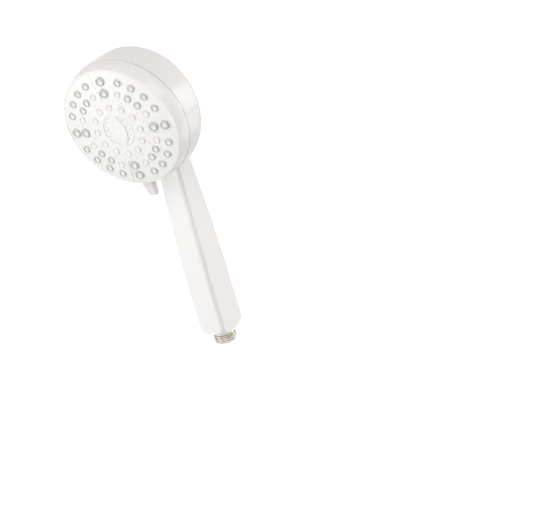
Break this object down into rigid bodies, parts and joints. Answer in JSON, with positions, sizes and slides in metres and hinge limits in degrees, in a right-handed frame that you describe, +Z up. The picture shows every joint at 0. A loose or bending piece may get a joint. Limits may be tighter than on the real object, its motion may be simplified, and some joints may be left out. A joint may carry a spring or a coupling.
{
  "type": "handheld shower head",
  "caption": "Handheld shower wand: tilted round spray head with a turning face, a finger lever, soft nozzles and a massage rotor, on a squared handle with a threaded inlet.",
  "frame": {"origin": "centre of the inlet's end face, at the free end of the thread", "axes": "+Z up along the handle's axis towards the head, -Y the side the spray leaves from, X across; the outer form is symmetric about X = 0"},
  "size_m": [0.1144, 0.0865, 0.2903],
  "materials": {
    "shell_white": "glossy moulded white, faintly warm",
    "face_white": "satin moulded white",
    "nozzle_grey": "soft grey silicone, paler at the tips",
    "nozzle_white": "soft white silicone",
    "lever_grey": "light grey moulded, satin",
    "inlet_nickel": "nickel-plated, machined",
    "inner_plastic": "natural acetal, matte",
    "seal_rubber": "black nitrile rubber",
    "steel": "stainless"
  },
  "bodies": {
    "wand": {"handle_body": "shell_white", "inlet_nipple": "inlet_nickel", "inlet_screen": "steel", "flow_regulator": "inner_plastic", "regulator_o_ring": "seal_rubber", "water_tube": "inner_plastic", "tube_o_rings": "seal_rubber", "valve_base": "inner_plastic", "base_screws": "steel", "port_seal": "seal_rubber", "port_spring": "steel", "detent_spring": "steel", "pivot_washer": "steel", "pivot_screw": "steel"},
    "spray_head": {"selector_ring": "shell_white", "selector_lever": "lever_grey", "face_plate": "face_white", "grey_nozzles": "nozzle_grey", "white_nozzles": "nozzle_white", "centre_cap": "face_white", "turbine_pin": "steel", "flow_plate": "inner_plastic", "mode_disc": "inner_plastic", "disc_seal": "seal_rubber", "engine_screws": "steel"},
    "turbine": {"massage_turbine": "inner_plastic"},
    "detent": {"detent_plunger": "inner_plastic"}
  },
  "joints": [
    {"name": "spray_selector", "type": "hinge", "parent": "wand", "child": "spray_head", "pos_m": [0, -0.0588, 0.2305], "axis": [0, -0.9869, -0.1616], "range_deg": [-60, 60]},
    {"name": "turbine_spin", "type": "hinge", "parent": "spray_head", "child": "turbine", "pos_m": [0, -0.0588, 0.2305], "axis": [0, -0.9869, -0.1616], "continuous": true},
    {"name": "detent_press", "type": "slide", "parent": "wand", "child": "detent", "axis": [0, -0.9869, -0.1616], "range_m": [-0.0004, 0.00075], "stiffness_N_per_m": 300}
  ]
}
